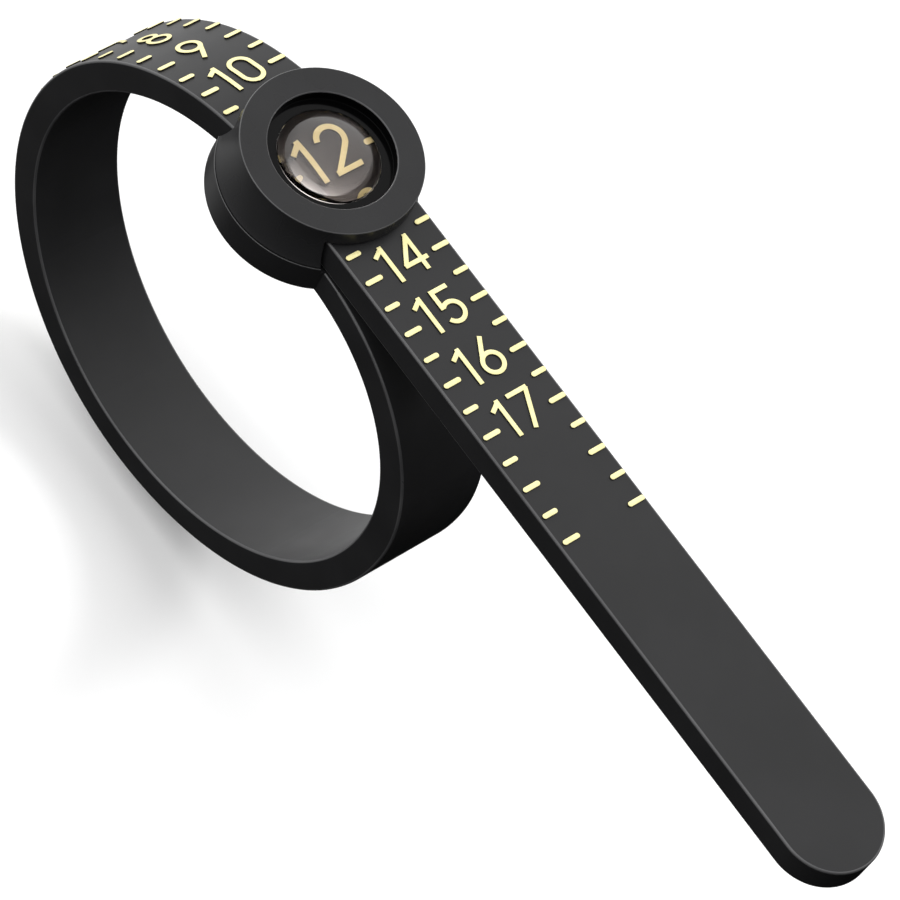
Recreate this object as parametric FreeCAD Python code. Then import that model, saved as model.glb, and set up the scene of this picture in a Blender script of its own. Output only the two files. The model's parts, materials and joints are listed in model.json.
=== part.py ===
"""Adjustable ring sizer: a numbered plastic strap that threads back through its own round head.

The origin is the centre of the head's back face, which rests on the finger. +X runs along the
straight tail, +Y across the strap, and +Z out through the magnifying lens. A "run" is a distance
along the strap's mid-thickness line. It is 0 where the flat tail starts to curl and grows back
round the loop, as far as the root, where the strap grows out of the head's base disc.
"""
import FreeCAD, Part
import math
import os

# Strap
SIZE_PITCH = 2.554            # strap length of one whole US ring size
STRAP_WIDTH = 4.53
STRAP_THICKNESS = 1.37
TAIL_LENGTH = 34.6            # from the head's axis to the rounded tip
STRAP_BOTTOM = 1.53           # height of the tail's underside

# Loop: four quarter turns, given by the radii of the strap's inner face
ROOT_X = 3.19                 # where the strap starts to curl away from the base disc
ROOT_RADIUS = 7.67
LOWER_RADIUS = 11.58
FAR_RADIUS = 10.01

# Hinge lines that stand in for the strap's bending
HINGE_SLIT = 0.1
OPEN_GAP = 0.3                # between the tail and the first link, where the loop is open
HINGE_OFFSET = -1.55          # from a whole-size tick to the bare strip behind its numeral
SHORT_LINKS = 2               # links of one size each, where the strap enters the head
LONG_LINKS = 3                # links of three sizes each, down to size 1
PLAIN_LINKS = 6               # unmarked links from there to the root
ROOT_STUB = 1.25

# Head
BASE_RADIUS = 4.19
BASE_THICKNESS = 1.58
BASE_EDGE = 0.15
CHANNEL_HALF_WIDTH = 2.42
CHANNEL_FLOOR = [             # (x, height), falling from the tail side to the loop side
    (5.0, 1.38), (2.0, 1.38), (0.9, 1.16), (-0.6, 1.13), (-2.4, 0.78), (-4.3, 0.02),
]
HOUSING_TOP = 3.73
HOUSING_TOP_RADIUS = 3.80
HOUSING_SEAM_RADIUS = 4.17
HOUSING_EDGE = 0.09
BORE_RADIUS = 2.65
LEDGE_TOP = 3.23
LEDGE_UNDERSIDE = 3.13
SLOT_CEILING = 3.02
PEG_RADIUS = 0.42
PEG_DEPTH = 0.85
PEG_X = 1.35
PEG_Y = 3.18
PEG_CLEARANCE = 0.03

# Lens
LENS_RADIUS = 2.14
LENS_FLANGE_RADIUS = 2.44
LENS_CLEARANCE = 0.02
DOME_RADIUS = 2.62

# Foil marks
MARK_HEIGHT = 0.07
SIZE_14_TICK_X = 5.234
FIRST_SIZE = 1
LAST_NUMERAL = 17
LAST_TICK = 19
TICK_WIDTH = 0.22
LONG_TICK = (0.84, -1.65, 1.775)      # length, then the two rows' middles across the strap
SHORT_TICK = (0.73, -1.72, 1.83)
NUMERAL_HEIGHT = 1.74
STROKE = 0.2
FOIL_BLOCK = 0.6                      # depth of the block that each mark is cut from
NUMERAL_FOOT = 0.62                   # from a whole-size tick to the foot of its numeral

STRAP_MID = STRAP_BOTTOM + STRAP_THICKNESS / 2
STRAP_TOP = STRAP_BOTTOM + STRAP_THICKNESS
HALF_THICKNESS = STRAP_THICKNESS / 2
ENTRY_RADIUS = STRAP_BOTTOM + ROOT_RADIUS + LOWER_RADIUS - FAR_RADIUS
LOWER_X = ROOT_X + ROOT_RADIUS - LOWER_RADIUS
ENTRY_X = LOWER_X - FAR_RADIUS + ENTRY_RADIUS

# Quarter turns from run 0 back to the root: centre, mid-line radius, angle where each starts
QUARTERS = [
    (ENTRY_X, STRAP_BOTTOM - ENTRY_RADIUS, ENTRY_RADIUS + HALF_THICKNESS, 90),
    (LOWER_X, STRAP_BOTTOM - ENTRY_RADIUS, FAR_RADIUS + HALF_THICKNESS, 180),
    (LOWER_X, -ROOT_RADIUS, LOWER_RADIUS + HALF_THICKNESS, 270),
    (ROOT_X, -ROOT_RADIUS, ROOT_RADIUS + HALF_THICKNESS, 360),
]
QUARTER_LENGTHS = [math.pi / 2 * radius for _, _, radius, _ in QUARTERS]
LOOP_LENGTH = sum(QUARTER_LENGTHS)
QUARTER_ENDS = [sum(QUARTER_LENGTHS[:count]) for count in range(len(QUARTERS) + 1)]


def vector(x, y, z):
    return FreeCAD.Vector(x, y, z)


def offset_point(run, offset, y=0.0):
    """The point that is offset outwards from the strap's mid line, at a run."""
    if run <= 0:
        return vector(ENTRY_X - run, y, STRAP_MID + offset)
    if run >= LOOP_LENGTH:
        return vector(ROOT_X - (run - LOOP_LENGTH), y, HALF_THICKNESS + offset)
    quarter = max(index for index in range(len(QUARTERS)) if QUARTER_ENDS[index] <= run)
    centre_x, centre_z, radius, start = QUARTERS[quarter]
    angle = math.radians(start) + (run - QUARTER_ENDS[quarter]) / radius
    reach = radius + offset
    return vector(centre_x + reach * math.cos(angle), y, centre_z + reach * math.sin(angle))


def outward(run):
    """The unit vector that points out of the loop through the strap's marked face."""
    return (offset_point(run, 1.0) - offset_point(run, 0.0)).normalize()


def run_edges(start, end, offset, y):
    """Lines and arcs that follow the strap at one offset."""
    inner_stops = [stop for stop in QUARTER_ENDS if start < stop < end]
    stops = [start] + inner_stops + [end]
    edges = []
    for begin, finish in zip(stops, stops[1:]):
        first = offset_point(begin, offset, y)
        middle = offset_point((begin + finish) / 2, offset, y)
        last = offset_point(finish, offset, y)
        if finish <= 0 or begin >= LOOP_LENGTH:
            edges.append(Part.LineSegment(first, last).toShape())
        else:
            edges.append(Part.Arc(first, middle, last).toShape())
    return edges


def strip(start, end, low, high, width):
    """A solid that follows the strap between two runs and two offsets."""
    y = -width / 2
    bottom = run_edges(start, end, low, y)
    top = run_edges(start, end, high, y)
    ends = [Part.LineSegment(offset_point(run, low, y), offset_point(run, high, y)).toShape()
            for run in (start, end)]
    outline = Part.Wire(Part.__sortEdges__(bottom + top + ends))
    return Part.Face(outline).extrude(vector(0, width, 0))


def scale_run(size):
    """The run of a size's long tick."""
    return ENTRY_X - (SIZE_14_TICK_X + (size - 14) * SIZE_PITCH)


def hinge_runs():
    """Runs of the hinge lines, from the open end beside the tail back to the root's hinge."""
    lengths = [SIZE_PITCH] * SHORT_LINKS + [3 * SIZE_PITCH] * LONG_LINKS
    runs = [scale_run(12) - HINGE_OFFSET]
    for length in lengths:
        runs.append(runs[-1] + length)
    plain_length = (LOOP_LENGTH - ROOT_STUB - runs[-1]) / PLAIN_LINKS
    for _ in range(PLAIN_LINKS):
        runs.append(runs[-1] + plain_length)
    return runs


def link_spans():
    """Name, start and end of every hinged link."""
    hinges = hinge_runs()
    spans = []
    for index, (start, end) in enumerate(zip(hinges, hinges[1:])):
        gap = OPEN_GAP if index == 0 else HINGE_SLIT
        spans.append((f"strap_link_{index + 1:02d}", start + gap / 2, end - HINGE_SLIT / 2))
    return spans


def turned(profile, last_edge=None):
    """A solid turned about the head's axis from (radius, height) corners.

    The profile closes with a straight line, or with last_edge, which runs from its last corner
    back to its first.
    """
    points = [vector(radius, 0, height) for radius, height in profile]
    edges = Part.makePolygon(points).Edges
    edges.append(last_edge or Part.LineSegment(points[-1], points[0]).toShape())
    face = Part.Face(Part.Wire(Part.__sortEdges__(edges)))
    return face.revolve(vector(0, 0, 0), vector(0, 0, 1), 360)


def flare():
    """The outer line of the housing's wall: upright at the rim, curving out to the seam."""
    top = HOUSING_TOP - HOUSING_EDGE
    height = top - BASE_THICKNESS
    spread = HOUSING_SEAM_RADIUS - HOUSING_TOP_RADIUS
    radius = (height ** 2 + spread ** 2) / (2 * spread)
    half_turn = math.asin(height / radius) / 2
    middle = vector(HOUSING_TOP_RADIUS + radius * (1 - math.cos(half_turn)), 0,
                    top - radius * math.sin(half_turn))
    return Part.Arc(vector(HOUSING_TOP_RADIUS, 0, top), middle,
                    vector(HOUSING_SEAM_RADIUS, 0, BASE_THICKNESS)).toShape()


def tail():
    """The straight numbered end of the strap, with its half-round tip."""
    tip_radius = STRAP_WIDTH / 2
    open_end = hinge_runs()[0] - OPEN_GAP / 2
    straight = strip(tip_radius + ENTRY_X - TAIL_LENGTH, open_end,
                     -HALF_THICKNESS, HALF_THICKNESS, STRAP_WIDTH)
    tip = Part.makeCylinder(tip_radius, STRAP_THICKNESS,
                            vector(TAIL_LENGTH - tip_radius, 0, STRAP_BOTTOM))
    return straight.fuse(tip).removeSplitter()


def channel():
    """The space for the strap in the base disc, down to the channel's floor."""
    top = BASE_THICKNESS + 1
    outline = [(CHANNEL_FLOOR[0][0], top)] + CHANNEL_FLOOR + [(CHANNEL_FLOOR[-1][0], top)]
    points = [vector(x, -CHANNEL_HALF_WIDTH, z) for x, z in outline]
    face = Part.Face(Part.makePolygon(points + points[:1]))
    return face.extrude(vector(0, 2 * CHANNEL_HALF_WIDTH, 0))


def pegs(radius):
    """Four locating pegs, or their sockets, that join the housing to the base disc."""
    places = [(x, y) for x in (-PEG_X, PEG_X) for y in (-PEG_Y, PEG_Y)]
    bottom = BASE_THICKNESS - PEG_DEPTH
    return [Part.makeCylinder(radius, PEG_DEPTH + 0.3, vector(x, y, bottom)) for x, y in places]


def base_disc():
    """The round base with the strap's root, moulded in one with the strap."""
    disc = turned([
        (0, 0), (BASE_RADIUS - BASE_EDGE, 0), (BASE_RADIUS, BASE_EDGE),
        (BASE_RADIUS, BASE_THICKNESS), (0, BASE_THICKNESS),
    ])
    root = strip(hinge_runs()[-1] + HINGE_SLIT / 2, LOOP_LENGTH + 1,
                 -HALF_THICKNESS, HALF_THICKNESS, STRAP_WIDTH)
    body = disc.cut(channel()).cut(pegs(PEG_RADIUS + PEG_CLEARANCE))
    return body.fuse(root).cut(channel()).removeSplitter()


def housing():
    """The ring-shaped cover that carries the lens and closes the slot from above."""
    shell = turned([
        (HOUSING_SEAM_RADIUS, BASE_THICKNESS), (0, BASE_THICKNESS), (0, LEDGE_TOP),
        (BORE_RADIUS, LEDGE_TOP), (BORE_RADIUS, HOUSING_TOP - HOUSING_EDGE),
        (BORE_RADIUS + HOUSING_EDGE, HOUSING_TOP), (HOUSING_TOP_RADIUS - HOUSING_EDGE, HOUSING_TOP),
        (HOUSING_TOP_RADIUS, HOUSING_TOP - HOUSING_EDGE),
    ], flare())
    reach = BASE_RADIUS + 1
    slot = Part.makeBox(2 * reach, 2 * CHANNEL_HALF_WIDTH, SLOT_CEILING,
                        vector(-reach, -CHANNEL_HALF_WIDTH, 0))
    window = Part.makeCylinder(LENS_RADIUS, HOUSING_TOP)
    flange_seat = Part.makeCylinder(LENS_FLANGE_RADIUS, LEDGE_UNDERSIDE)
    body = shell.cut(slot).cut(window).cut(flange_seat)
    return body.fuse(pegs(PEG_RADIUS)).removeSplitter()


def lens():
    """The clear magnifier: a flange under the housing's ledge and a high dome through it."""
    flange = Part.makeCylinder(LENS_FLANGE_RADIUS - LENS_CLEARANCE, LEDGE_UNDERSIDE - SLOT_CEILING,
                               vector(0, 0, SLOT_CEILING))
    neck_radius = LENS_RADIUS - LENS_CLEARANCE
    neck = Part.makeCylinder(neck_radius, LEDGE_TOP - SLOT_CEILING, vector(0, 0, SLOT_CEILING))
    sphere_centre = LEDGE_TOP - math.sqrt(DOME_RADIUS ** 2 - neck_radius ** 2)
    ball = Part.makeSphere(DOME_RADIUS, vector(0, 0, sphere_centre))
    above = Part.makeCylinder(BASE_RADIUS, 2 * DOME_RADIUS, vector(0, 0, LEDGE_TOP))
    return flange.fuse(neck).fuse(ball.common(above)).removeSplitter()


def bar(first, last):
    """A straight stroke between two (right, up) points of a numeral."""
    (right_1, up_1), (right_2, up_2) = first, last
    length = math.hypot(right_2 - right_1, up_2 - up_1)
    across_right = -(up_2 - up_1) / length * STROKE / 2
    across_up = (right_2 - right_1) / length * STROKE / 2
    corners = [
        (right_1 + across_right, up_1 + across_up), (right_2 + across_right, up_2 + across_up),
        (right_2 - across_right, up_2 - across_up), (right_1 - across_right, up_1 - across_up),
    ]
    points = [vector(right, up, 0) for right, up in corners]
    return Part.Face(Part.makePolygon(points + points[:1]))


def curve(right, up, radius, start, end):
    """A curved stroke about a (right, up) centre, from one angle to another in degrees."""
    centre = vector(right, up, 0)
    normal = vector(0, 0, 1)
    outer = Part.Face(Part.Wire(Part.makeCircle(radius + STROKE / 2, centre, normal)))
    inner = Part.Face(Part.Wire(Part.makeCircle(radius - STROKE / 2, centre, normal)))
    ring = outer.cut(inner)
    if end - start >= 360:
        return ring
    far = 2 * radius
    fan = [centre]
    steps = max(2, math.ceil((end - start) / 60))
    for step in range(steps + 1):
        angle = math.radians(start + (end - start) * step / steps)
        fan.append(centre + vector(far * math.cos(angle), far * math.sin(angle), 0))
    return ring.common(Part.Face(Part.makePolygon(fan + fan[:1])))


def digit_strokes(digit):
    """The strokes of one digit, standing on up = 0, centred on right = 0."""
    low = STROKE / 2
    top = NUMERAL_HEIGHT - STROKE / 2
    bowl = 0.45
    small_bowl = 0.34
    lower_bowl = (NUMERAL_HEIGHT - STROKE) / 2 - small_bowl
    if digit == 0:
        return [curve(0, low + bowl, bowl, 180, 360), curve(0, top - bowl, bowl, 0, 180),
                bar((-bowl, low + bowl), (-bowl, top - bowl)),
                bar((bowl, low + bowl), (bowl, top - bowl))]
    if digit == 1:
        return [bar((0.1, 0), (0.1, NUMERAL_HEIGHT)),
                bar((0.14, top), (-0.34, top - 0.3))]
    if digit == 2:
        return [curve(0, top - bowl, bowl, -35, 165), bar((0.4, top - 0.68), (-0.44, low)),
                bar((-0.52, low), (0.5, low))]
    if digit == 3:
        waist = low + 2 * lower_bowl
        return [curve(0, low + lower_bowl, lower_bowl, -160, 90),
                curve(0, top - small_bowl, small_bowl, -90, 150),
                bar((-0.15, waist), (0.05, waist))]
    if digit == 4:
        return [bar((0.28, 0), (0.28, NUMERAL_HEIGHT)), bar((-0.56, 0.5), (0.6, 0.5)),
                bar((-0.5, 0.5), (0.28, top))]
    if digit == 5:
        return [curve(0, low + bowl, bowl, -150, 138), bar((-0.46, top), (0.42, top)),
                bar((-0.36, 0.8), (-0.36, NUMERAL_HEIGHT - 0.03))]
    if digit == 6:
        return [curve(0, low + bowl, bowl, 0, 360), bar((-0.41, 0.72), (0.2, NUMERAL_HEIGHT))]
    if digit == 7:
        return [bar((-0.52, top), (0.52, top)), bar((0.46, top), (-0.26, 0))]
    if digit == 8:
        return [curve(0, low + lower_bowl, lower_bowl, 0, 360),
                curve(0, top - small_bowl, small_bowl, 0, 360)]
    return [curve(0, top - bowl, bowl, 0, 360), bar((0.41, NUMERAL_HEIGHT - 0.72), (-0.2, 0))]


def on_strap(shape, run, across):
    """Lay a flat (right, up) shape on the marked face, reading across the strap."""
    up = offset_point(run + 0.001, HALF_THICKNESS) - offset_point(run - 0.001, HALF_THICKNESS)
    place = offset_point(run, HALF_THICKNESS, across)
    rotation = FreeCAD.Rotation(vector(0, 1, 0), up, outward(run), "ZXY")
    placed = shape.copy()
    placed.Placement = FreeCAD.Placement(place, rotation)
    return placed


def foil(faces, run, across):
    """Turn flat strokes into one or more foil solids that follow the strap's face."""
    blocks = [face.extrude(vector(0, 0, FOIL_BLOCK)) for face in faces]
    block = blocks[0].fuse(blocks[1:]) if len(blocks) > 1 else blocks[0]
    block.translate(vector(0, 0, -FOIL_BLOCK / 2))
    skin = strip(run - 2, run + 2, HALF_THICKNESS, HALF_THICKNESS + MARK_HEIGHT, STRAP_WIDTH)
    return on_strap(block, run, across).common(skin).removeSplitter().Solids


def numeral(size):
    """The foil solids of one size's numeral."""
    digits = [int(character) for character in str(size)]
    places = [-0.68, 0.43] if len(digits) == 2 else [0.0]
    foot = scale_run(size) - NUMERAL_FOOT
    solids = []
    for digit, across in zip(digits, places):
        run = foot + NUMERAL_HEIGHT / 2
        strokes = digit_strokes(digit)
        for stroke in strokes:
            stroke.translate(vector(0, -NUMERAL_HEIGHT / 2, 0))
        solids += foil(strokes, run, across)
    return Part.makeCompound(solids)


def tick(run, length, across):
    """One foil bar with round ends, lying across the strap."""
    half = (length - TICK_WIDTH) / 2
    radius = TICK_WIDTH / 2
    left, right = vector(-half, 0, 0), vector(half, 0, 0)
    up = vector(0, radius, 0)
    edges = [
        Part.LineSegment(left - up, right - up), Part.LineSegment(right + up, left + up),
        Part.Arc(right - up, right + vector(radius, 0, 0), right + up),
        Part.Arc(left + up, left - vector(radius, 0, 0), left - up),
    ]
    wire = Part.Wire(Part.__sortEdges__([edge.toShape() for edge in edges]))
    return foil([Part.Face(wire)], run, across)


def ticks_between(start, end):
    """All the ticks whose run lies between two runs: long at sizes, short at half sizes."""
    solids = []
    for half_sizes in range(2 * FIRST_SIZE, 2 * LAST_TICK + 1):
        run = scale_run(half_sizes / 2)
        if not start < run < end:
            continue
        length, near, far = SHORT_TICK if half_sizes % 2 else LONG_TICK
        solids += tick(run, length, near) + tick(run, length, far)
    return Part.makeCompound(solids) if solids else None


def build():
    """Every sub-part by node name."""
    parts = {"base_disc": base_disc(), "housing": housing(), "lens": lens(), "strap_tail": tail()}
    parts["ticks_tail"] = ticks_between(-TAIL_LENGTH, hinge_runs()[0])
    for name, start, end in link_spans():
        parts[name] = strip(start, end, -HALF_THICKNESS, HALF_THICKNESS, STRAP_WIDTH)
        ticks = ticks_between(start, end)
        if ticks:
            parts[name.replace("strap_link", "ticks_link")] = ticks
    for size in range(FIRST_SIZE, LAST_NUMERAL + 1):
        parts[f"numeral_{size:02d}"] = numeral(size)
    return parts


os.makedirs("parts", exist_ok=True)
for name, shape in build().items():
    shape.exportStep(f"parts/{name}.step")
    print(name, "solids", len(shape.Solids), "valid", shape.isValid(), "volume", round(shape.Volume, 4))
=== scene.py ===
"""Looks for the ring sizer: satin black strap and head, pale gold foil marks, clear domed lens.

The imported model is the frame. Shapes are worked out in millimetres and scaled to metres when each
piece is finished. A "run" is a distance along the strap's mid-thickness line: 0 where the flat
tail starts to curl, negative along the tail, growing back round the loop to the root.
"""
import bmesh
import bpy
import json
import math
from mathutils import Euler, Matrix, Vector


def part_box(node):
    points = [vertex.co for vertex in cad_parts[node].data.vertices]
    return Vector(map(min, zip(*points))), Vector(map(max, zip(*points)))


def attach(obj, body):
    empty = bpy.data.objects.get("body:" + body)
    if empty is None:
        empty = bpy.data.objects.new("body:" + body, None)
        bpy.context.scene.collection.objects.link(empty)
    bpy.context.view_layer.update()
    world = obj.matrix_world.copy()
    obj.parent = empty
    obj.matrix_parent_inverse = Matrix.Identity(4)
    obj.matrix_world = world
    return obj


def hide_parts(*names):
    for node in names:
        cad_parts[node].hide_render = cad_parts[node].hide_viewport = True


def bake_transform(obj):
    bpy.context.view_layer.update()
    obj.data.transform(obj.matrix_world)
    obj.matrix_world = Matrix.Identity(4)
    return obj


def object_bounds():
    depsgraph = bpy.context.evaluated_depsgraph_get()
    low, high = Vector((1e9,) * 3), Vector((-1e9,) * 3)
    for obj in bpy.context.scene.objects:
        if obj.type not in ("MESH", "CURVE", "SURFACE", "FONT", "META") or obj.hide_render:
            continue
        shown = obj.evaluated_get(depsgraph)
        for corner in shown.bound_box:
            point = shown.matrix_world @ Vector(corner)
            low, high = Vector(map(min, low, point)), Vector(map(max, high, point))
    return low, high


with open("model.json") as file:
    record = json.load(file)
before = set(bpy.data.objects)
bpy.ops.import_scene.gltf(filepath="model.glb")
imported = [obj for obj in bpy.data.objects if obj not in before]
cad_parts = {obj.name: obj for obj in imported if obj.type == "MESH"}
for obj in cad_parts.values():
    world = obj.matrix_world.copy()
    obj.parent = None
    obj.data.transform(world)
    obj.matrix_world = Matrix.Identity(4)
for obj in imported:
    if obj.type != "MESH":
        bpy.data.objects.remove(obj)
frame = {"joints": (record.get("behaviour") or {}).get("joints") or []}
cad_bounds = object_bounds()

MM = 0.001


def box_mm(node):
    low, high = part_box(node)
    return low / MM, high / MM


# Strap
TAIL_LOW, TAIL_HIGH = box_mm("strap_tail")
HALF_WIDTH = (TAIL_HIGH.y - TAIL_LOW.y) / 2
STRAP_TOP = TAIL_HIGH.z
STRAP_THICKNESS = 1.37
HALF_THICKNESS = STRAP_THICKNESS / 2
STRAP_MID = STRAP_TOP - HALF_THICKNESS
STRAP_BOTTOM = STRAP_TOP - STRAP_THICKNESS
TAIL_LENGTH = TAIL_HIGH.x
STRAP_EDGE = 0.09
EDGE_SUPPORT = 0.04           # flat run beside a rounded edge, which keeps its shading tight
EDGE_STEPS = 4
TIP_STEPS = 32
STATION_STEP = 0.35
OPEN_GAP = 0.1                # between the tail and the first link, where the loop is open
NOSE_CLEARANCE = 0.02
NOSE_STEP = 10                # degrees
HINGE_SLIT = 0.1              # between the CAD model's links
ROOT_OVERLAP = 1              # how far the root runs on into the base disc

# Loop: radii of the inner face of its four quarter turns
ROOT_X = 3.19
ROOT_RADIUS = 7.67
LOWER_RADIUS = 11.58
FAR_RADIUS = 10.01
ENTRY_RADIUS = STRAP_BOTTOM + ROOT_RADIUS + LOWER_RADIUS - FAR_RADIUS
LOWER_X = ROOT_X + ROOT_RADIUS - LOWER_RADIUS
ENTRY_X = LOWER_X - FAR_RADIUS + ENTRY_RADIUS
QUARTERS = [
    (ENTRY_X, STRAP_BOTTOM - ENTRY_RADIUS, ENTRY_RADIUS + HALF_THICKNESS, 90),
    (LOWER_X, STRAP_BOTTOM - ENTRY_RADIUS, FAR_RADIUS + HALF_THICKNESS, 180),
    (LOWER_X, -ROOT_RADIUS, LOWER_RADIUS + HALF_THICKNESS, 270),
    (ROOT_X, -ROOT_RADIUS, ROOT_RADIUS + HALF_THICKNESS, 360),
]
QUARTER_LENGTHS = [math.pi / 2 * radius for _, _, radius, _ in QUARTERS]
QUARTER_ENDS = [sum(QUARTER_LENGTHS[:count]) for count in range(5)]
LOOP_LENGTH = QUARTER_ENDS[-1]

# Scale
SIZE_PITCH = 2.554
SIZE_14_TICK_X = 5.234
FIRST_SIZE = 1
LAST_NUMERAL = 17
LAST_TICK = 19
MARK_HEIGHT = 0.07
MARK_ROOT = 0.03              # how far a mark goes down into the strap
MARK_BEVEL = 0.014
MARK_CUT = 0.16               # a mark is cut across this often, so that it can bend
TICK_WIDTH = 0.22
TICK_END_STEPS = 8
CURVE_STEP = 9                # degrees between the points of a curved stroke
LONG_TICK = (0.84, -1.65, 1.775)      # length, then the two rows' middles across the strap
SHORT_TICK = (0.73, -1.72, 1.83)
NUMERAL_HEIGHT = 1.74
STROKE = 0.2
OVERLAP = 0.01                # between strokes that would only touch
TENS_ACROSS = -0.68
UNITS_ACROSS = 0.43
NUMERAL_FOOT = 0.62           # from a whole-size tick to the foot of its numeral
HINGE_OFFSET = 1.55           # from a whole-size tick to the bare strip behind its numeral

# Head
BASE_RADIUS = box_mm("base_disc")[1].y
BASE_THICKNESS = 1.58
BASE_EDGE = 0.15
SEAM_EDGE = 0.035
CHANNEL_HALF_WIDTH = 2.42
CHANNEL_FLOOR = [             # (x, height), falling from the tail side to the loop side
    (5.0, 1.38), (2.0, 1.38), (0.9, 1.16), (-0.6, 1.13), (-2.4, 0.78), (-4.3, 0.02),
]
HOUSING_TOP = box_mm("housing")[1].z
SEAM_RADIUS = box_mm("housing")[1].y
SEAM_GROOVE = 0.08            # the thin shadow line round the seam
TOP_RADIUS = 3.80
HOUSING_EDGE = 0.09
RIM_ROUNDING = 0.06
BORE_ROUNDING = 0.07
LEDGE_ROUNDING = 0.02         # of the window's ledge and the lens's flange
CUT_EDGE = 0.03               # bevel along the slot's edges
WALL_STEPS = 12
CORNER_STEPS = 4
BORE_MARGIN = 0.01            # the bore's painted shade takes in its wall and the ledge inside it
BORE_SHADE_DEPTH = 0.06        # and starts this far below the housing's top
RIM_HIGHLIGHT_DEPTH = 0.1          # the painted edge highlight lies nearer the top than this
EDGE_TILT = (0.38, 0.92)      # how upright a face's normal is on a rounded edge that gets the painted edge highlight
BORE_RADIUS = 2.65
LEDGE_TOP = 3.23
LEDGE_UNDERSIDE = 3.13
SLOT_CEILING = 3.02
WINDOW_RADIUS = 2.14
SEAT_RADIUS = 2.44
LENS_CLEARANCE = 0.02
DOME_RADIUS = 2.62
DOME_STEPS = 40

# Studio: places and sizes in millimetres, powers in watts
FLOOR_DROP = 1.4              # below the object's lowest point, so that the loop can open
FLOOR_HALF_SIZE = 900
FLOOR_WHITE = 0.92
BRIGHT_SIDE = (-0.75, 0.25, 0.62)     # where the surrounding white is brightest
SKY_TURN = (-0.38, 0.85)      # how far towards it the white starts and stops growing
SKY_STRENGTH = (0.0, 1.65)
STRIP_PLACE = (24, -190, 140)
STRIP_TARGET = (5, 0, 3)
STRIP_SIZE = (520, 80)
STRIP_POWER = 0.2
KEY_PLACE = (70, 190, 150)
KEY_TARGET = (8, 0, 0)
KEY_SIZE = (60, 60)
KEY_POWER = 0.24
CAMERA_PLACE = (53.12, -101.61, 157.86)
CAMERA_TURN = (29.599, -18.388, 51.496)   # degrees
CAMERA_LENS = 197.24
SENSOR_WIDTH = 36


# ---------------------------------------------------------------- strap line

def offset_point(run, offset, across=0.0):
    """The point at an offset outwards from the strap's mid line, in millimetres."""
    if run <= 0:
        return Vector((ENTRY_X - run, across, STRAP_MID + offset))
    if run >= LOOP_LENGTH:
        return Vector((ROOT_X - (run - LOOP_LENGTH), across, HALF_THICKNESS + offset))
    quarter = max(index for index in range(4) if QUARTER_ENDS[index] <= run)
    centre_x, centre_z, radius, start = QUARTERS[quarter]
    angle = math.radians(start) + (run - QUARTER_ENDS[quarter]) / radius
    reach = radius + offset
    return Vector((centre_x + reach * math.cos(angle), across, centre_z + reach * math.sin(angle)))


def run_at(x, z):
    """The run of a point on the loop's mid line."""
    for (centre_x, centre_z, radius, start), passed in zip(QUARTERS, QUARTER_ENDS):
        turn = (math.degrees(math.atan2(z - centre_z, x - centre_x)) - start) % 360
        if turn <= 90:
            return passed + math.radians(turn) * radius
    raise ValueError("the point is not on the loop")


def scale_run(size):
    return ENTRY_X - (SIZE_14_TICK_X + (size - 14) * SIZE_PITCH)


# Hinge lines and the borders between strap pieces, as runs from the open end to the root. A
# strap piece spans one hinge, from the middle of one link to the middle of the next.
JOINT_PLACES = {joint["name"]: joint["pos_m"] for joint in frame["joints"] if "pos_m" in joint}
OPEN_RUN = scale_run(12) + HINGE_OFFSET
HINGES = [OPEN_RUN] + [run_at(place[0] / MM, place[2] / MM)
                       for _, place in sorted(JOINT_PLACES.items())]
LINK_COUNT = len(HINGES) - 1
BORDERS = ([OPEN_RUN + OPEN_GAP / 2]
           + [(first + last) / 2 for first, last in zip(HINGES[1:], HINGES[2:])]
           + [HINGES[-1] + HINGE_SLIT / 2])


def span_of(run):
    """The number of the strap piece that a run lies on: 0 for the tail."""
    return sum(1 for border in BORDERS[:-1] if border <= run)


def bend_with_strap(piece, span):
    """Attach a piece on the tail to the tail's body; on any other span, only bake its transform."""
    if span == 0:
        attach(piece, "tail")
        return
    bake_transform(piece)


# ---------------------------------------------------------------- mesh tools

def new_object(name, bm):
    mesh = bpy.data.meshes.new(name)
    bm.to_mesh(mesh)
    bm.free()
    piece = bpy.data.objects.new(name, mesh)
    bpy.context.scene.collection.objects.link(piece)
    return piece


def tidy(bm, distance=1e-4):
    bmesh.ops.remove_doubles(bm, verts=bm.verts, dist=distance)
    bmesh.ops.recalc_face_normals(bm, faces=bm.faces)


def smooth_by_angle(bm, degrees=32):
    for face in bm.faces:
        face.smooth = True
    limit = math.radians(degrees)
    for edge in bm.edges:
        edge.smooth = len(edge.link_faces) == 2 and edge.calc_face_angle() < limit


def apply_modifiers(piece):
    graph = bpy.context.evaluated_depsgraph_get()
    mesh = bpy.data.meshes.new_from_object(piece.evaluated_get(graph))
    piece.modifiers.clear()
    piece.data = mesh


def combine(target, other, operation):
    """Replace target's mesh with its union with, or difference from, another object."""
    modifier = target.modifiers.new("join", "BOOLEAN")
    modifier.operation = operation
    modifier.solver = "EXACT"
    modifier.object = other
    apply_modifiers(target)
    bpy.data.objects.remove(other)


def edit(piece, change):
    bm = bmesh.new()
    bm.from_mesh(piece.data)
    change(bm)
    bm.to_mesh(piece.data)
    bm.free()


def finish_piece(piece, materials, nodes):
    """Scale a piece to metres, paint it and hide the CAD nodes it stands for."""
    piece.data.transform(Matrix.Scale(MM, 4))
    for material in materials:
        piece.data.materials.append(material)
    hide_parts(*nodes)


# ---------------------------------------------------------------- materials

def node_material(name, **constants):
    material = bpy.data.materials.new(name)
    material.use_nodes = True
    shader = material.node_tree.nodes["Principled BSDF"]
    for socket, value in constants.items():
        shader.inputs[socket.replace("_", " ")].default_value = value
    return material, material.node_tree, shader


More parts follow.
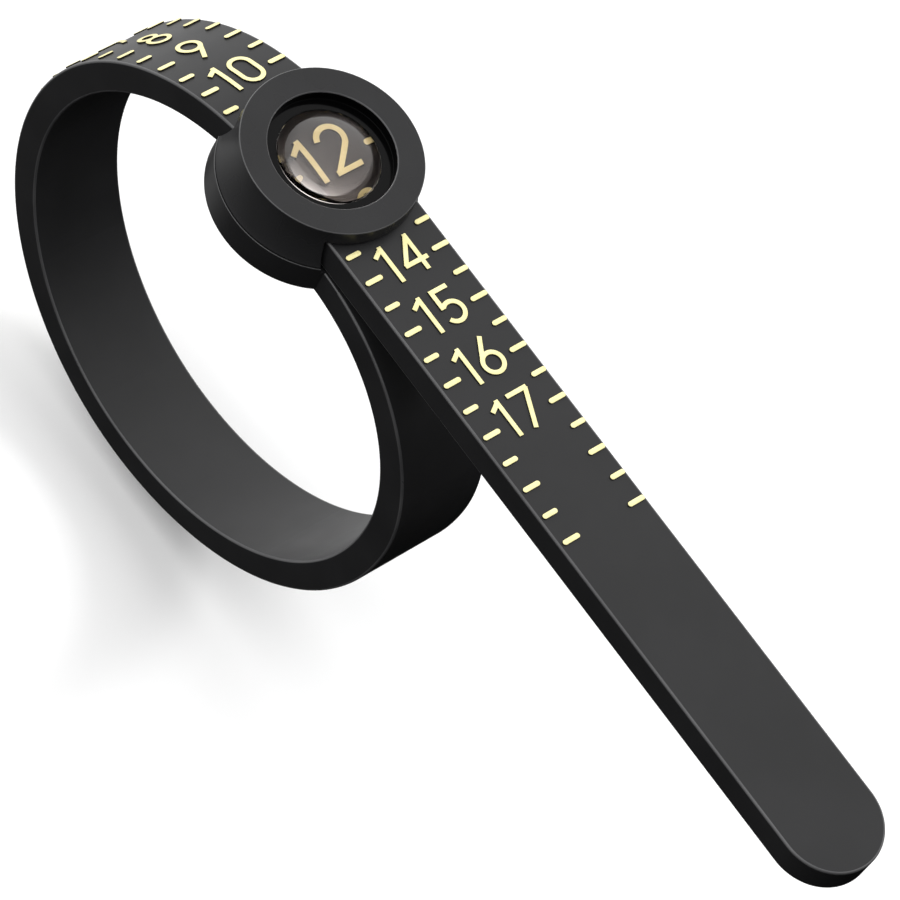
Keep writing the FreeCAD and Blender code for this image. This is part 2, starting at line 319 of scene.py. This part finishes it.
def noise(tree, scale, detail=2.0, roughness=0.5):
    """Noise in the object's own coordinates, with its scale in features per metre."""
    place = tree.nodes.new("ShaderNodeTexCoord")
    texture = tree.nodes.new("ShaderNodeTexNoise")
    texture.inputs["Scale"].default_value = scale
    texture.inputs["Detail"].default_value = detail
    texture.inputs["Roughness"].default_value = roughness
    tree.links.new(place.outputs["Object"], texture.inputs["Vector"])
    return texture.outputs["Fac"]


def ranged(tree, value, low, high, start=0.3, end=0.7):
    node = tree.nodes.new("ShaderNodeMapRange")
    node.inputs["From Min"].default_value = start
    node.inputs["From Max"].default_value = end
    node.inputs["To Min"].default_value = low
    node.inputs["To Max"].default_value = high
    tree.links.new(value, node.inputs["Value"])
    return node.outputs["Result"]


def mixed(tree, value, first, second):
    ramp = tree.nodes.new("ShaderNodeValToRGB")
    ramp.color_ramp.elements[0].position = 0.35
    ramp.color_ramp.elements[0].color = (*first, 1)
    ramp.color_ramp.elements[1].position = 0.65
    ramp.color_ramp.elements[1].color = (*second, 1)
    tree.links.new(value, ramp.inputs["Fac"])
    return ramp.outputs["Color"]


def bumped(tree, shader, heights):
    """Chain bump nodes from (height, strength, depth in metres) entries."""
    normal = None
    for height, strength, distance in heights:
        bump = tree.nodes.new("ShaderNodeBump")
        bump.inputs["Strength"].default_value = strength
        bump.inputs["Distance"].default_value = distance
        tree.links.new(height, bump.inputs["Height"])
        if normal:
            tree.links.new(normal, bump.inputs["Normal"])
        normal = bump.outputs["Normal"]
    tree.links.new(normal, shader.inputs["Normal"])


def black_plastic(name, dark, light, rough, specular, unevenness=0.04):
    """Satin moulded plastic: slow tone changes, a fine eroded grain, and uneven gloss."""
    material, tree, shader = node_material(name, Specular_IOR_Level=specular, IOR=1.47)
    tone = noise(tree, 260, 3)
    grain = noise(tree, 9000, 2)
    rub = noise(tree, 500, 3)
    gloss = ranged(tree, rub, rough - unevenness, rough + unevenness)
    tree.links.new(mixed(tree, tone, dark, light), shader.inputs["Base Color"])
    tree.links.new(gloss, shader.inputs["Roughness"])
    bumped(tree, shader, [(grain, 0.3, 3e-6)])
    return material


def gold_foil():
    """Hot-stamped foil: pale gold with a soft sheen, and tiny thin spots and creases."""
    material, tree, shader = node_material("gold_foil", Metallic=0.15, Specular_IOR_Level=0.5)
    wear = noise(tree, 2600, 4, 0.6)
    crease = noise(tree, 7000, 3, 0.6)
    tree.links.new(mixed(tree, wear, (0.84, 0.76, 0.36), (0.92, 0.86, 0.45)),
                   shader.inputs["Base Color"])
    tree.links.new(ranged(tree, crease, 0.28, 0.42), shader.inputs["Roughness"])
    bumped(tree, shader, [(crease, 0.2, 4e-6), (wear, 0.15, 6e-6)])
    return material


def clear_lens():
    """Polished acrylic with a faint ripple."""
    material, tree, shader = node_material(
        "clear_lens", Transmission_Weight=1.0, IOR=1.45, Specular_IOR_Level=0.3)
    ripple = noise(tree, 350, 1)
    dust = noise(tree, 5000, 2)
    tree.links.new(mixed(tree, ripple, (0.98, 0.9, 0.86), (1, 0.92, 0.88)),
                   shader.inputs["Base Color"])
    tree.links.new(ranged(tree, dust, 0.0, 0.02, 0.55, 0.75), shader.inputs["Roughness"])
    bumped(tree, shader, [(ripple, 0.02, 1e-5)])
    return material


STRAP_PLASTIC = black_plastic(
    "strap_plastic", dark=(0.015, 0.015, 0.0156), light=(0.018, 0.018, 0.0188),
    rough=0.36, specular=0.28)
HEAD_PLASTIC = black_plastic(
    "head_plastic", dark=(0.020, 0.020, 0.0207), light=(0.024, 0.024, 0.025),
    rough=0.28, specular=0.17, unevenness=0.025)
# The housing's plastic made near-black inside the bore: painted shade for the deep recess
BORE_SHADE_PAINT = black_plastic(
    "bore_painted_shade", dark=(0.0012, 0.0012, 0.0013), light=(0.0018, 0.0018, 0.0019),
    rough=0.12, specular=0.10)
# Rounded edges in a lighter, glossier black: a painted highlight along the edges
EDGE_HIGHLIGHT_PAINT = black_plastic(
    "painted_edge_highlight", dark=(0.05, 0.05, 0.052), light=(0.08, 0.08, 0.082),
    rough=0.3, specular=0.6)
# The marks' upright sides in dark brown: a painted shadow line round each raised mark
MARK_SIDE_SHADE = black_plastic(
    "mark_side_painted_shade", dark=(0.008, 0.006, 0.004), light=(0.012, 0.009, 0.006),
    rough=0.5, specular=0.1)
FOIL = gold_foil()
GLASS = clear_lens()


# ---------------------------------------------------------------- strap

def edge_levels():
    """(offset, inset) pairs down one side of the strap, from its underside to its marked face."""
    levels = []
    for side in (-1, 1):
        arc = []
        for step in range(EDGE_STEPS + 1):
            angle = math.pi / 2 * step / EDGE_STEPS
            arc.append((side * (HALF_THICKNESS - STRAP_EDGE * (1 - math.sin(angle))),
                        STRAP_EDGE * (1 - math.cos(angle))))
        flat = [(side * (HALF_THICKNESS - STRAP_EDGE - EDGE_SUPPORT), 0)]
        face = [(side * HALF_THICKNESS, STRAP_EDGE + EDGE_SUPPORT)]
        half = flat + arc + face
        levels += half[::-1] if side < 0 else half
    return levels


def ribbon(name, stations):
    """A closed strip of strap.

    Each station is (run, half width, outline normal, share of the thickness).
    """
    bm = bmesh.new()
    levels = edge_levels()
    side_levels = len(levels) // 2
    rings = []
    for run, half_width, (normal_run, normal_across), share in stations:
        ring = {}
        for side in (-1, 1):
            ring[side] = [
                bm.verts.new(offset_point(run - inset * normal_run, offset * share,
                                          side * (half_width - inset * normal_across)))
                for offset, inset in levels]
        rings.append(ring)
    for here, there in zip(rings, rings[1:]):
        for side in (-1, 1):
            for low in range(len(levels) - 1):
                corners = [here[side][low], there[side][low],
                           there[side][low + 1], here[side][low + 1]]
                # Faces on the rounded edges take the second material, the painted edge highlight
                on_edge = 0 < low % side_levels < EDGE_STEPS + 1
                bm.faces.new(corners).material_index = int(on_edge)
        for level in (0, -1):
            bm.faces.new([here[-1][level], here[1][level], there[1][level], there[-1][level]])
    for ring, tapered in ((rings[0], stations[0][1] < 1e-6), (rings[-1], False)):
        if not tapered:
            bm.faces.new(ring[-1] + ring[1][::-1])
    tidy(bm)
    smooth_by_angle(bm)
    return new_object(name, bm)


def plain_stations(start, end):
    count = max(2, math.ceil((end - start) / STATION_STEP))
    return [(start + (end - start) * index / count, HALF_WIDTH, (0, 1), 1)
            for index in range(count + 1)]


def nose_stations(end):
    """A rounded nose inside the tail's open end, which fills the joint when the strap bends there."""
    angles = [math.radians(degrees) for degrees in range(90 - NOSE_STEP, 0, -NOSE_STEP)]
    return [(end - HALF_THICKNESS * math.sin(angle), HALF_WIDTH - NOSE_CLEARANCE, (0, 1),
             math.cos(angle)) for angle in angles]


def tail_stations():
    """From the apex of the half-round tip to the open end inside the head."""
    centre = ENTRY_X - (TAIL_LENGTH - HALF_WIDTH)
    stations = []
    for index in range(TIP_STEPS + 1):
        angle = math.pi / 2 * index / TIP_STEPS
        stations.append((centre - HALF_WIDTH * math.cos(angle), HALF_WIDTH * math.sin(angle),
                         (-math.cos(angle), math.sin(angle)), 1))
    return stations + plain_stations(centre, OPEN_RUN - OPEN_GAP / 2)[1:]


def build_strap():
    tail = ribbon("strap_tail_body", tail_stations())
    finish_piece(tail, [STRAP_PLASTIC, EDGE_HIGHLIGHT_PAINT], ["strap_tail"])
    bend_with_strap(tail, 0)
    for span in range(1, LINK_COUNT + 1):
        stations = plain_stations(BORDERS[span - 1], BORDERS[span])
        if span == 1:
            stations = nose_stations(BORDERS[0]) + stations
        piece = ribbon(f"strap_loop_{span:02d}", stations)
        nodes = [f"strap_link_{link:02d}" for link in (span, span + 1) if link <= LINK_COUNT]
        finish_piece(piece, [STRAP_PLASTIC, EDGE_HIGHLIGHT_PAINT], nodes)
        bend_with_strap(piece, span)


# ---------------------------------------------------------------- foil marks

def prism(outline):
    """A closed upright prism over a (right, up) outline."""
    bm = bmesh.new()
    low = [bm.verts.new((right, up, -MARK_ROOT)) for right, up in outline]
    high = [bm.verts.new((right, up, MARK_HEIGHT)) for right, up in outline]
    count = len(outline)
    for index in range(count):
        after = (index + 1) % count
        bm.faces.new([low[index], low[after], high[after], high[index]])
    bm.faces.new(low[::-1])
    bm.faces.new(high)
    bmesh.ops.recalc_face_normals(bm, faces=bm.faces)
    return bm


def bar(first, last, width=STROKE):
    (right_1, up_1), (right_2, up_2) = first, last
    length = math.hypot(right_2 - right_1, up_2 - up_1)
    along = ((right_2 - right_1) / length, (up_2 - up_1) / length)
    side = (-along[1] * width / 2, along[0] * width / 2)
    return prism([(right_1 + side[0], up_1 + side[1]), (right_2 + side[0], up_2 + side[1]),
                  (right_2 - side[0], up_2 - side[1]), (right_1 - side[0], up_1 - side[1])])


def curve(right, up, radius, start, end):
    """A curved stroke about a centre, from one angle to another in degrees; 360 is a ring."""
    steps = max(6, round((end - start) / CURVE_STEP))
    whole = end - start >= 360
    rails = []
    for reach in (radius + STROKE / 2, radius - STROKE / 2):
        angles = [math.radians(start + (end - start) * step / steps)
                  for step in range(steps + (0 if whole else 1))]
        rails.append([(right + reach * math.cos(angle), up + reach * math.sin(angle))
                      for angle in angles])
    outer, inner = rails
    if not whole:
        return prism(outer + inner[::-1])
    bm = bmesh.new()
    loops = [[bm.verts.new((x, y, z)) for x, y in rail]
             for rail, z in ((outer, MARK_HEIGHT), (outer, -MARK_ROOT),
                             (inner, -MARK_ROOT), (inner, MARK_HEIGHT))]
    for first, second in zip(loops, loops[1:] + loops[:1]):
        for index in range(steps):
            after = (index + 1) % steps
            bm.faces.new([first[index], first[after], second[after], second[index]])
    bmesh.ops.recalc_face_normals(bm, faces=bm.faces)
    return bm


def digit_strokes(digit):
    """The strokes of one digit, standing on up = 0, centred on right = 0."""
    low = STROKE / 2
    top = NUMERAL_HEIGHT - STROKE / 2
    bowl = 0.45
    small_bowl = 0.34
    lower_bowl = (NUMERAL_HEIGHT - STROKE) / 2 - small_bowl
    waist = low + 2 * lower_bowl
    if digit == 0:
        foot, head = low + bowl - OVERLAP, top - bowl + OVERLAP
        return [curve(0, low + bowl, bowl, 180, 360), curve(0, top - bowl, bowl, 0, 180),
                bar((-bowl, foot), (-bowl, head)), bar((bowl, foot), (bowl, head))]
    if digit == 1:
        return [bar((0.1, 0), (0.1, NUMERAL_HEIGHT)), bar((0.14, top), (-0.34, top - 0.3))]
    if digit == 2:
        return [curve(0, top - bowl, bowl, -35, 165), bar((0.4, top - 0.68), (-0.44, low)),
                bar((-0.52, low), (0.5, low))]
    if digit == 3:
        return [curve(0, low + lower_bowl, lower_bowl, -160, 96),
                curve(0, top - small_bowl, small_bowl, -96, 150),
                bar((-0.15, waist), (0.1, waist), STROKE + OVERLAP)]
    if digit == 4:
        return [bar((0.28, 0), (0.28, NUMERAL_HEIGHT)), bar((-0.56, 0.5), (0.6, 0.5)),
                bar((-0.5, 0.5), (0.28, top))]
    if digit == 5:
        return [curve(0, low + bowl, bowl, -150, 138), bar((-0.46, top), (0.42, top)),
                bar((-0.36, 0.8), (-0.36, NUMERAL_HEIGHT - 0.03))]
    if digit == 6:
        return [curve(0, low + bowl, bowl, 0, 360), bar((-0.41, 0.72), (0.2, NUMERAL_HEIGHT))]
    if digit == 7:
        return [bar((-0.52, top), (0.52, top)), bar((0.46, top), (-0.26, 0))]
    if digit == 8:
        half_step = CURVE_STEP / 2        # so that the two rings share no points
        return [curve(0, low + lower_bowl, lower_bowl, 0, 360),
                curve(0, top - small_bowl, small_bowl, half_step, 360 + half_step)]
    return [curve(0, top - bowl, bowl, 0, 360), bar((0.41, NUMERAL_HEIGHT - 0.72), (-0.2, 0))]


def rounded_top(bm):
    """Soften the upper rim of a mark, then cut it across so that it can bend."""
    bmesh.ops.dissolve_limit(bm, angle_limit=math.radians(0.5), verts=bm.verts, edges=bm.edges)
    rim = [edge for edge in bm.edges
           if all(vert.co.z > MARK_HEIGHT - 1e-4 for vert in edge.verts)
           and edge.is_manifold and edge.calc_face_angle() > 1.0]
    bmesh.ops.bevel(bm, geom=rim, offset=MARK_BEVEL, segments=2, profile=0.5, affect="EDGES")
    tops = [vert.co.y for vert in bm.verts]
    cuts = max(1, round((max(tops) - min(tops)) / MARK_CUT))
    for cut in range(1, cuts):
        level = min(tops) + (max(tops) - min(tops)) * cut / cuts
        bmesh.ops.bisect_plane(bm, geom=bm.verts[:] + bm.edges[:] + bm.faces[:],
                               plane_co=(0, level, 0), plane_no=(0, 1, 0))
    large = [face for face in bm.faces if len(face.verts) > 4]
    bmesh.ops.triangulate(bm, faces=large)
    tidy(bm, 1e-5)
    smooth_by_angle(bm, 50)
    # Upright sides take the second material, the painted shadow round the mark
    for face in bm.faces:
        face.material_index = 1 if abs(face.normal.z) < 0.3 else 0


def digit_mesh(digit):
    """A digit as one closed mesh, flat, in (right, up, height)."""
    strokes = [new_object("stroke", bm) for bm in digit_strokes(digit)]
    whole = strokes[0]
    for stroke in strokes[1:]:
        combine(whole, stroke, "UNION")
    edit(whole, rounded_top)
    mesh = whole.data
    bpy.data.objects.remove(whole)
    return mesh


def tick_mesh(length):
    half = (length - TICK_WIDTH) / 2
    outline = []
    for side in (1, -1):
        for step in range(TICK_END_STEPS + 1):
            angle = math.radians(-90 + 180 * step / TICK_END_STEPS)
            outline.append((side * (half + TICK_WIDTH / 2 * math.cos(angle)),
                            side * TICK_WIDTH / 2 * math.sin(angle)))
    bm = prism(outline)
    rounded_top(bm)
    mesh = bpy.data.meshes.new("tick")
    bm.to_mesh(mesh)
    bm.free()
    return mesh


def lay(bm, mesh, run, across):
    """Add a flat mark to bm, bent onto the strap's marked face."""
    first = len(bm.verts)
    bm.from_mesh(mesh)
    bm.verts.ensure_lookup_table()
    for vert in bm.verts[first:]:
        right, up, height = vert.co
        vert.co = offset_point(run + up, HALF_THICKNESS + height, across + right)


def build_numerals():
    digits = {digit: digit_mesh(digit) for digit in range(10)}
    for size in range(FIRST_SIZE, LAST_NUMERAL + 1):
        text = str(size)
        places = [TENS_ACROSS, UNITS_ACROSS] if len(text) == 2 else [0.0]
        foot = scale_run(size) - NUMERAL_FOOT
        bm = bmesh.new()
        for character, across in zip(text, places):
            lay(bm, digits[int(character)], foot, across)
        piece = new_object(f"foil_numeral_{size:02d}", bm)
        finish_piece(piece, [FOIL, MARK_SIDE_SHADE], [f"numeral_{size:02d}"])
        bend_with_strap(piece, span_of(foot + NUMERAL_HEIGHT / 2))


def build_ticks():
    shapes = {kind: tick_mesh(kind[0]) for kind in (LONG_TICK, SHORT_TICK)}
    by_span = {}
    for half_sizes in range(2 * FIRST_SIZE, 2 * LAST_TICK + 1):
        run = scale_run(half_sizes / 2)
        by_span.setdefault(span_of(run), []).append((half_sizes, run))
    for span, ticks in sorted(by_span.items()):
        bm = bmesh.new()
        nodes = set()
        for half_sizes, run in ticks:
            kind = SHORT_TICK if half_sizes % 2 else LONG_TICK
            for across in kind[1:]:
                lay(bm, shapes[kind], run, across)
            link = sum(1 for hinge in HINGES if hinge <= run)
            nodes.add("ticks_tail" if link == 0 else f"ticks_link_{link:02d}")
        piece = new_object("foil_ticks_tail" if span == 0 else f"foil_ticks_{span:02d}", bm)
        finish_piece(piece, [FOIL, MARK_SIDE_SHADE], sorted(nodes))
        bend_with_strap(piece, span)


# ---------------------------------------------------------------- head

def rounded_corners(profile):
    """Replace each (radius, height, rounding) corner with a short arc of points."""
    points = []
    count = len(profile)
    for index, (x, z, rounding) in enumerate(profile):
        corner = Vector((x, z))
        if rounding == 0:
            points.append(corner)
            continue
        before = (Vector(profile[index - 1][:2]) - corner).normalized()
        after = (Vector(profile[(index + 1) % count][:2]) - corner).normalized()
        half = before.angle(after) / 2
        reach = rounding / math.tan(half)
        middle = corner + (before + after).normalized() * rounding / math.sin(half)
        first, last = corner + before * reach, corner + after * reach
        for step in range(CORNER_STEPS + 1):
            mix = first.lerp(last, step / CORNER_STEPS) - middle
            points.append(middle + mix.normalized() * rounding)
    return points


def lathe(name, profile, segments=160):
    """A closed solid turned about the head's axis."""
    bm = bmesh.new()
    rings = []
    for radius, height in rounded_corners(profile):
        ring = []
        for index in range(segments):
            angle = 2 * math.pi * (index + 0.5) / segments
            ring.append(bm.verts.new((radius * math.cos(angle), radius * math.sin(angle), height)))
        rings.append(ring)
    for first, second in zip(rings, rings[1:] + rings[:1]):
        if all(vert.co.xy.length < 1e-6 for vert in first + second):
            continue
        for index in range(segments):
            after = (index + 1) % segments
            bm.faces.new([first[index], first[after], second[after], second[index]])
    tidy(bm)
    return new_object(name, bm)


def block(name, outline, half_width):
    """A prism across the strap over an (x, z) outline."""
    bm = bmesh.new()
    near = [bm.verts.new((x, -half_width, z)) for x, z in outline]
    far = [bm.verts.new((x, half_width, z)) for x, z in outline]
    for index in range(len(outline)):
        after = (index + 1) % len(outline)
        bm.faces.new([near[index], near[after], far[after], far[index]])
    bm.faces.new(near[::-1])
    bm.faces.new(far)
    bmesh.ops.recalc_face_normals(bm, faces=bm.faces)
    return new_object(name, bm)


def soften(bm, width):
    """Bevel the sharp edges that the cuts left."""
    bmesh.ops.dissolve_degenerate(bm, dist=1e-4, edges=bm.edges)
    sharp = [edge for edge in bm.edges
             if edge.is_manifold and edge.calc_face_angle() > math.radians(50)]
    bmesh.ops.bevel(bm, geom=sharp, offset=width, segments=2, profile=0.5, affect="EDGES",
                    clamp_overlap=False)
    tidy(bm)
    smooth_by_angle(bm, 40)


def weigh_normals(piece):
    """Keep flat faces flat in the shading."""
    modifier = piece.modifiers.new("weigh", "WEIGHTED_NORMAL")
    modifier.keep_sharp = True
    apply_modifiers(piece)


def build_base():
    disc = lathe("base_moulding", [
        (0, 0, 0), (BASE_RADIUS, 0, BASE_EDGE), (BASE_RADIUS, BASE_THICKNESS, SEAM_EDGE),
        (0, BASE_THICKNESS, 0),
    ])
    top = BASE_THICKNESS + 1
    floor = [(CHANNEL_FLOOR[0][0], top)] + CHANNEL_FLOOR + [(CHANNEL_FLOOR[-1][0], top)]
    combine(disc, block("channel", floor, CHANNEL_HALF_WIDTH), "DIFFERENCE")
    root = ribbon("root", plain_stations(BORDERS[-1], LOOP_LENGTH + ROOT_OVERLAP))
    combine(disc, root, "UNION")
    edit(disc, lambda bm: (tidy(bm), smooth_by_angle(bm, 40)))
    weigh_normals(disc)
    finish_piece(disc, [STRAP_PLASTIC, EDGE_HIGHLIGHT_PAINT], ["base_disc"])
    # Faces on the rounded edges take the painted edge highlight
    for face in disc.data.polygons:
        beyond_disc = face.center.x / MM > BASE_RADIUS
        tilt = abs(face.normal.y if beyond_disc else face.normal.z)
        face.material_index = 1 if EDGE_TILT[0] < tilt < EDGE_TILT[1] else 0
    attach(disc, "head")


def wall_profile():
    """The outer wall between the seam and the rim: an arc that is upright at the rim."""
    top = HOUSING_TOP - HOUSING_EDGE
    height = top - BASE_THICKNESS
    spread = SEAM_RADIUS - TOP_RADIUS
    radius = (height ** 2 + spread ** 2) / (2 * spread)
    turn = math.asin(height / radius)
    points = []
    for step in range(1, WALL_STEPS):
        angle = turn * (1 - step / WALL_STEPS)
        points.append((TOP_RADIUS + radius * (1 - math.cos(angle)), top - radius * math.sin(angle), 0))
    return points


def build_housing():
    shell = lathe("housing_ring", [
        (SEAT_RADIUS, BASE_THICKNESS, 0), (SEAM_RADIUS - SEAM_GROOVE, BASE_THICKNESS, 0),
        (SEAM_RADIUS - SEAM_GROOVE, BASE_THICKNESS + SEAM_GROOVE, 0),
        (SEAM_RADIUS, BASE_THICKNESS + SEAM_GROOVE, 0),
        *wall_profile(), (TOP_RADIUS, HOUSING_TOP, RIM_ROUNDING),
        (BORE_RADIUS, HOUSING_TOP, BORE_ROUNDING), (BORE_RADIUS, LEDGE_TOP, LEDGE_ROUNDING),
        (WINDOW_RADIUS, LEDGE_TOP, LEDGE_ROUNDING),
        (WINDOW_RADIUS, LEDGE_UNDERSIDE, LEDGE_ROUNDING),
        (SEAT_RADIUS, LEDGE_UNDERSIDE, 0),
    ])
    reach = BASE_RADIUS + 1
    outline = [(-reach, 0), (reach, 0), (reach, SLOT_CEILING), (-reach, SLOT_CEILING)]
    combine(shell, block("slot", outline, CHANNEL_HALF_WIDTH), "DIFFERENCE")
    edit(shell, lambda bm: soften(bm, CUT_EDGE))
    weigh_normals(shell)
    finish_piece(shell, [HEAD_PLASTIC, BORE_SHADE_PAINT, EDGE_HIGHLIGHT_PAINT], ["housing"])
    for face in shell.data.polygons:
        middle = face.center / MM
        depth = HOUSING_TOP - middle.z
        tilted = EDGE_TILT[0] < abs(face.normal.z) < EDGE_TILT[1]
        # Painted shade on the faces inside the bore, below the top
        if middle.xy.length < BORE_RADIUS + BORE_MARGIN and depth > BORE_SHADE_DEPTH:
            face.material_index = 1
        # Painted highlight on the rounded edges near the top
        elif tilted and depth < RIM_HIGHLIGHT_DEPTH:
            face.material_index = 2
    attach(shell, "head")


def build_lens():
    flange = SEAT_RADIUS - LENS_CLEARANCE
    neck = WINDOW_RADIUS - LENS_CLEARANCE
    centre = LEDGE_TOP - math.sqrt(DOME_RADIUS ** 2 - neck ** 2)
    profile = [(0, SLOT_CEILING, 0), (flange, SLOT_CEILING, LEDGE_ROUNDING),
               (flange, LEDGE_UNDERSIDE, LEDGE_ROUNDING), (neck, LEDGE_UNDERSIDE, 0)]
    start = math.asin((LEDGE_TOP - centre) / DOME_RADIUS)
    for step in range(DOME_STEPS + 1):
        angle = start + (math.pi / 2 - start) * step / DOME_STEPS
        profile.append((DOME_RADIUS * math.cos(angle) if step < DOME_STEPS else 0,
                        centre + DOME_RADIUS * math.sin(angle), 0))
    piece = lathe("lens_dome", profile, 128)
    edit(piece, lambda bm: smooth_by_angle(bm, 40))
    finish_piece(piece, [GLASS], ["lens"])
    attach(piece, "head")


build_strap()
build_numerals()
build_ticks()
build_base()
build_housing()
build_lens()


# ---------------------------------------------------------------- studio

def aim(thing, target):
    direction = Vector(target) * MM - thing.location
    thing.rotation_euler = direction.to_track_quat("-Z", "Y").to_euler()


def area_light(name, place, target, size, power):
    data = bpy.data.lights.new(name, "AREA")
    data.shape = "RECTANGLE"
    data.size = size[0] * MM
    data.size_y = size[1] * MM
    data.energy = power
    light = bpy.data.objects.new(name, data)
    bpy.context.scene.collection.objects.link(light)
    light.location = Vector(place) * MM
    aim(light, target)
    return light


def build_floor():
    """A pale floor just low enough for the loop when it is opened by one size."""
    lowest = cad_bounds[0][2] / MM
    bm = bmesh.new()
    bmesh.ops.create_grid(bm, x_segments=4, y_segments=4, size=FLOOR_HALF_SIZE)
    bmesh.ops.translate(bm, verts=bm.verts, vec=(0, 0, lowest - FLOOR_DROP))
    floor = new_object("studio_floor", bm)
    floor.data.transform(Matrix.Scale(MM, 4))
    material, _, shader = node_material("pale_floor", Roughness=0.9)
    shader.inputs["Base Color"].default_value = (FLOOR_WHITE, FLOOR_WHITE, FLOOR_WHITE, 1)
    floor.data.materials.append(material)
    floor.visible_glossy = False
    floor.visible_diffuse = False


def build_studio():
    scene = bpy.context.scene
    scene.view_settings.view_transform = "Standard"
    world = bpy.data.worlds.new("studio")
    scene.world = world
    world.use_nodes = True
    tree = world.node_tree
    direction = tree.nodes.new("ShaderNodeTexCoord")
    towards = tree.nodes.new("ShaderNodeVectorMath")
    towards.operation = "DOT_PRODUCT"
    towards.inputs[1].default_value = BRIGHT_SIDE
    tree.links.new(direction.outputs["Generated"], towards.inputs[0])
    sky = ranged(tree, towards.outputs["Value"], *SKY_STRENGTH, *SKY_TURN)
    tree.links.new(sky, tree.nodes["Background"].inputs["Strength"])
    tree.nodes["Background"].inputs["Color"].default_value = (1, 1, 1, 1)
    area_light("front_strip", STRIP_PLACE, STRIP_TARGET, STRIP_SIZE, STRIP_POWER)
    key = area_light("key", KEY_PLACE, KEY_TARGET, KEY_SIZE, KEY_POWER)
    key.visible_glossy = False
    key.visible_transmission = False
    build_floor()


def build_camera():
    data = bpy.data.cameras.new("camera")
    data.sensor_width = SENSOR_WIDTH
    data.lens = CAMERA_LENS
    data.clip_start = 0.01
    data.clip_end = 20
    camera = bpy.data.objects.new("camera", data)
    bpy.context.scene.collection.objects.link(camera)
    camera.location = Vector(CAMERA_PLACE) * MM
    camera.rotation_euler = Euler([math.radians(angle) for angle in CAMERA_TURN])
    bpy.context.scene.camera = camera


build_studio()
build_camera()
